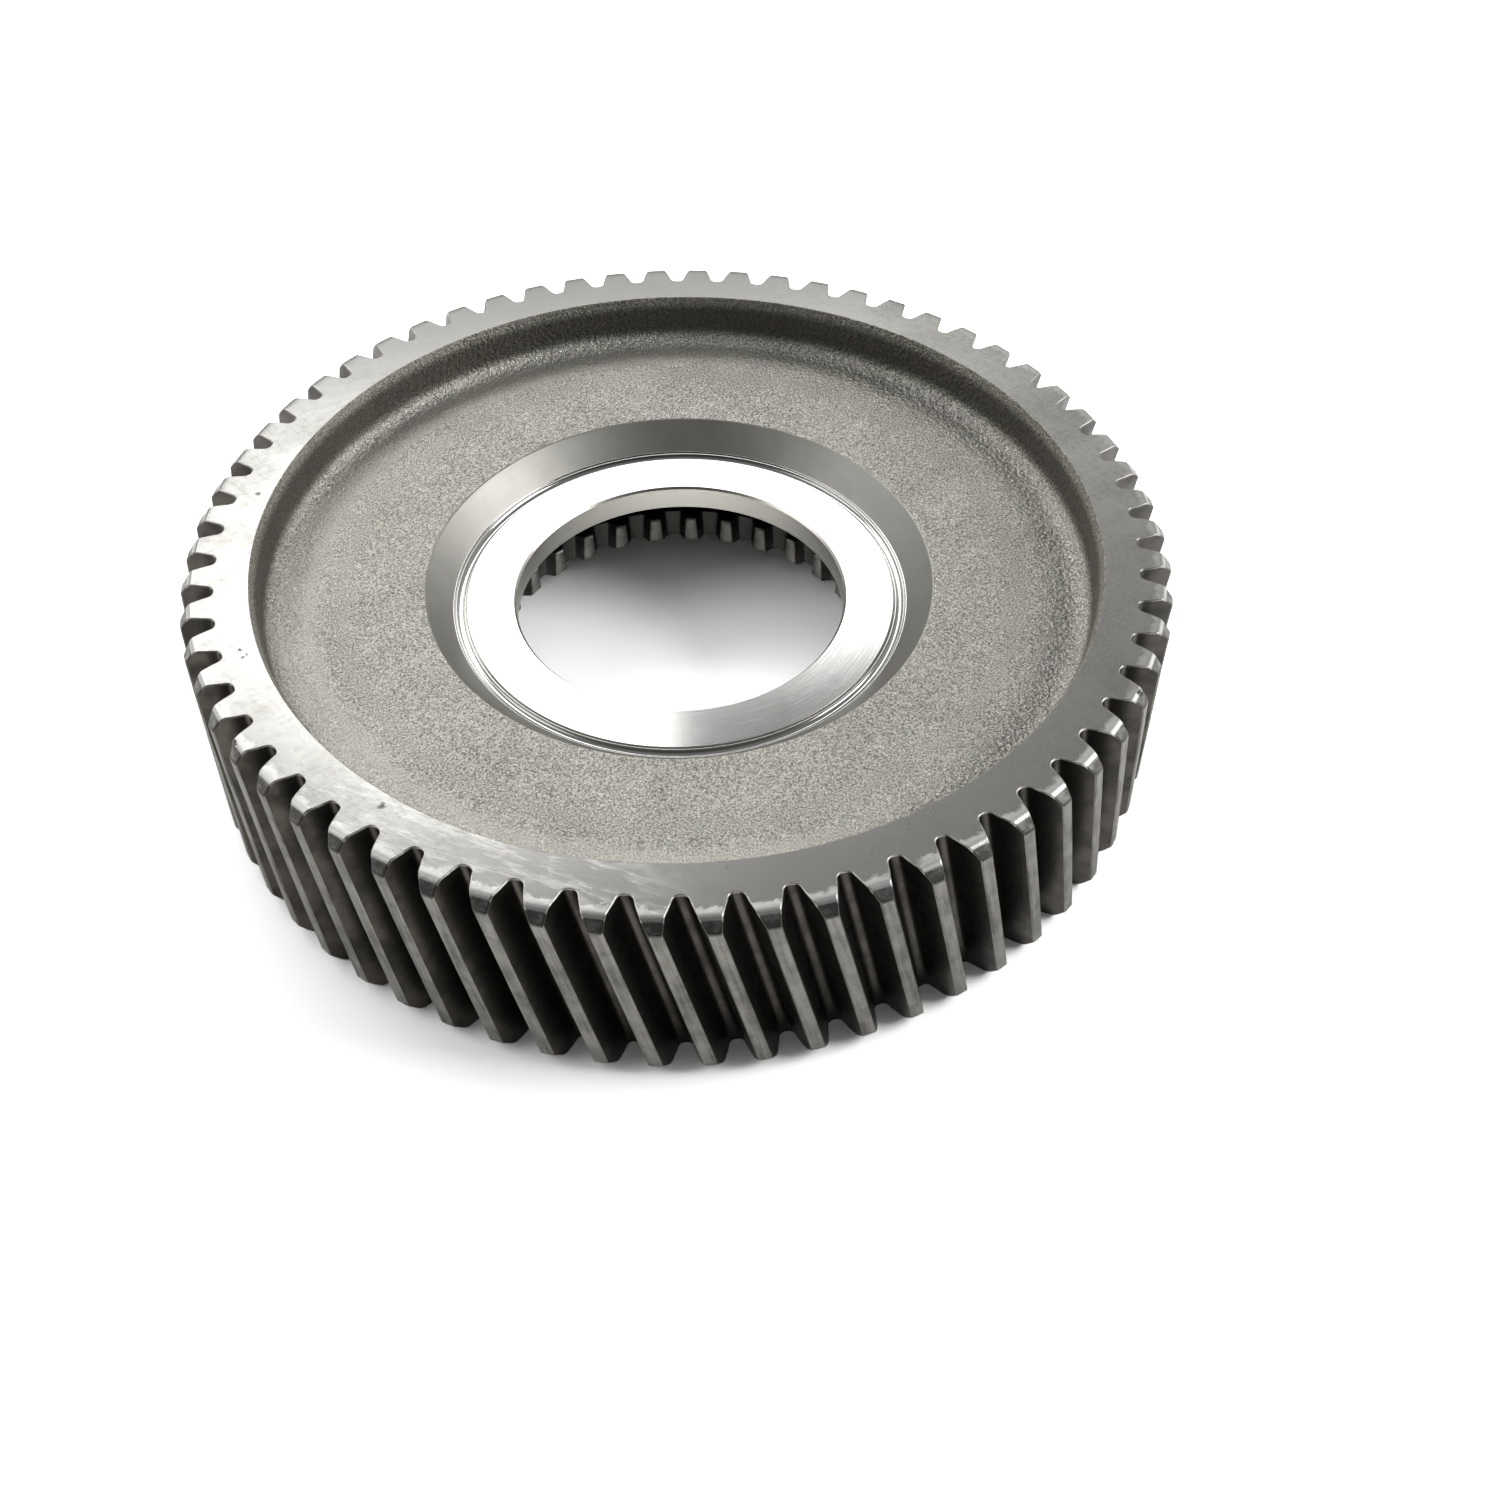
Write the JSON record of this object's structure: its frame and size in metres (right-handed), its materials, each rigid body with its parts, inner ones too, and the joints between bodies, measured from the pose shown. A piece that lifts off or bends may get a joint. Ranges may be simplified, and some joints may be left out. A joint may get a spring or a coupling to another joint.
{
  "type": "helical gear",
  "caption": "One-piece steel helical gear wheel with a recessed web, a funnelled hub, a ground bore with a thrust face and internal clutch teeth.",
  "frame": {"origin": "on the gear's axis, at the level of the rim's rear face", "axes": "+Z along the gear's axis, from the rear face to the front face with the thrust ring"},
  "size_m": [0.262, 0.262, 0.058],
  "materials": {
    "gear_steel": "forged and shot-blasted web, hobbed teeth, turned funnel and ground thrust face"
  },
  "bodies": {
    "root": {"gear": "gear_steel"}
  },
  "joints": []
}
